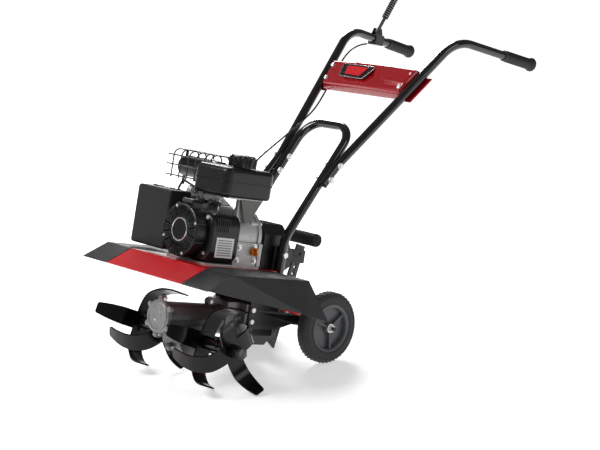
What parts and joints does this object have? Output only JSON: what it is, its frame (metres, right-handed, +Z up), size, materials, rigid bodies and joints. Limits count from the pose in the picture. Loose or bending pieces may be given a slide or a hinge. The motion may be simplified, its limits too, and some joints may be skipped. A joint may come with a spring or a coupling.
{
  "type": "front-tine tiller",
  "caption": "Front-tine garden tiller: small engine over a worm gearbox, crossed digging tines under a sheet shield, two wheels, a pair of handles and a depth stake.",
  "frame": {"origin": "bottom centre of the bounding box, on the ground", "axes": "+Z up, tines towards -Y, operator's handles towards +Y, operator's left at +X"},
  "size_m": [0.596, 1.2846, 0.997],
  "materials": {
    "red_sheet": "gloss",
    "dark_sheet": "satin",
    "black_tube": "gloss",
    "black_steel": "satin",
    "cast_alloy": "cast",
    "plain_steel": "machined",
    "black_plastic": "satin",
    "gray_plastic": "matte",
    "orange_plastic": "satin",
    "red_plastic": "gloss",
    "rim_plastic": "satin",
    "tyre_rubber": "matte",
    "black_rubber": "matte",
    "bright_zinc": "bright",
    "bronze_gear": "machined"
  },
  "bodies": {
    "frame": {"main_frame": "black_steel", "tine_shield_centre": "red_sheet", "tine_shield_left": "dark_sheet", "tine_shield_right": "dark_sheet", "crankcase": "cast_alloy", "crankcase_cover": "cast_alloy", "bearings": "plain_steel", "blower_housing": "black_plastic", "recoil_cover": "black_plastic", "cylinder": "cast_alloy", "cylinder_head": "cast_alloy", "air_cleaner_cover": "black_plastic", "air_cleaner_base": "black_plastic", "carburetor": "cast_alloy", "fuel_tank": "black_plastic", "control_plate": "plain_steel", "muffler": "black_steel", "muffler_guard": "black_steel", "spark_plug": "black_rubber", "belt_backplate": "black_steel", "belt_cover": "gray_plastic", "drive_belt": "black_rubber", "gearbox_left": "cast_alloy", "gearbox_right": "cast_alloy", "handle_left": "black_tube", "handle_right": "black_tube", "handle_grips": "black_rubber", "handle_hoop": "black_tube", "handle_bracket": "black_steel", "console_panel": "red_plastic", "lever_bracket": "black_steel", "control_cable": "black_rubber", "fasteners": "bright_zinc"},
    "crank": {"crankshaft": "plain_steel", "flywheel": "cast_alloy", "drive_pulley": "plain_steel"},
    "tines": {"tine_shaft": "black_steel", "worm_gear": "bronze_gear", "outer_tines_left": "black_steel", "outer_tines_right": "black_steel", "inner_tines_left": "black_steel", "inner_tines_right": "black_steel", "tine_bolts": "bright_zinc"},
    "worm": {"worm_shaft": "plain_steel", "driven_pulley": "plain_steel"},
    "wheel_left": {"tyre_left": "tyre_rubber", "rim_left": "rim_plastic"},
    "wheel_right": {"tyre_right": "tyre_rubber", "rim_right": "rim_plastic"},
    "lever": {"control_lever": "bright_zinc"},
    "idler": {"idler_arm": "plain_steel"},
    "idler_wheel": {"idler_pulley": "plain_steel"},
    "starter_grip": {"starter_handle": "black_rubber"},
    "starter_wheel": {"starter_pulley": "black_plastic"},
    "cap": {"fuel_cap": "black_plastic"},
    "oil_stick": {"dipstick": "orange_plastic"},
    "choke": {"choke_lever": "black_plastic"},
    "throttle": {"throttle_lever": "black_plastic"},
    "stake": {"depth_stake": "black_steel", "stake_grip": "black_rubber"}
  },
  "joints": [
    {"name": "crank_spin", "type": "hinge", "parent": "frame", "child": "crank", "pos_m": [0, -0.43816, 0.39904], "axis": [0, 0.9759, -0.2181], "continuous": true},
    {"name": "tines_spin", "type": "hinge", "parent": "frame", "child": "tines", "pos_m": [0, -0.5012, 0.117], "axis": [1, 0, 0], "continuous": true},
    {"name": "worm_spin", "type": "hinge", "parent": "frame", "child": "worm", "pos_m": [0, -0.49007, 0.16677], "axis": [0, 0.9759, -0.2181], "continuous": true},
    {"name": "wheel_left_spin", "type": "hinge", "parent": "frame", "child": "wheel_left", "pos_m": [0.158, -0.1222, 0.1016], "axis": [1, 0, 0], "continuous": true},
    {"name": "wheel_right_spin", "type": "hinge", "parent": "frame", "child": "wheel_right", "pos_m": [-0.158, -0.1222, 0.1016], "axis": [1, 0, 0], "continuous": true},
    {"name": "lever_close", "type": "hinge", "parent": "frame", "child": "lever", "pos_m": [-0.2318, 0.46474, 0.86275], "axis": [-0.9947, -0.1005, 0.0225], "range_deg": [0, 58], "stiffness_Nm_per_rad": 0.4, "springref_deg": -28.65},
    {"name": "idler_swing", "type": "hinge", "parent": "frame", "child": "idler", "pos_m": [-0.052, -0.23003, 0.29411], "axis": [0, -0.9759, 0.2181], "range_deg": [0, 7]},
    {"name": "idler_spin", "type": "hinge", "parent": "idler", "child": "idler_wheel", "pos_m": [-0.0545, -0.25571, 0.23427], "axis": [0, 0.9759, -0.2181], "continuous": true},
    {"name": "starter_pull", "type": "slide", "parent": "frame", "child": "starter_grip", "axis": [0, 0.2181, 0.9759], "range_m": [0, 0.025], "stiffness_N_per_m": 150, "springref_m": -0.02},
    {"name": "starter_pulley_turn", "type": "hinge", "parent": "frame", "child": "starter_wheel", "pos_m": [0, -0.43816, 0.39904], "axis": [0, 0.9759, -0.2181], "range_deg": [0, 40]},
    {"name": "fuel_cap_turn", "type": "hinge", "parent": "frame", "child": "cap", "pos_m": [0.034, -0.32123, 0.57374], "axis": [0, 0.2181, 0.9759], "range_deg": [0, 90]},
    {"name": "dipstick_turn", "type": "hinge", "parent": "frame", "child": "oil_stick", "pos_m": [0.078, -0.32478, 0.33783], "axis": [1, 0, 0], "range_deg": [0, 90]},
    {"name": "choke_turn", "type": "hinge", "parent": "frame", "child": "choke", "pos_m": [-0.018, -0.43176, 0.48266], "axis": [0, -0.9759, 0.2181], "range_deg": [0, 40]},
    {"name": "throttle_turn", "type": "hinge", "parent": "frame", "child": "throttle", "pos_m": [0.034, -0.43176, 0.48266], "axis": [0, -0.9759, 0.2181], "range_deg": [0, 50]},
    {"name": "stake_slide", "type": "slide", "parent": "frame", "child": "stake", "axis": [0, 0.3994, 0.9168], "range_m": [-0.015, 0.06]}
  ],
  "couplings": [
    {"joint": "worm_spin", "follows": "tines_spin", "ratio": 24},
    {"joint": "idler_swing", "follows": "lever_close", "ratio": 0.12},
    {"joint": "starter_pulley_turn", "follows": "starter_pull", "rad_per_m": 25.6}
  ]
}
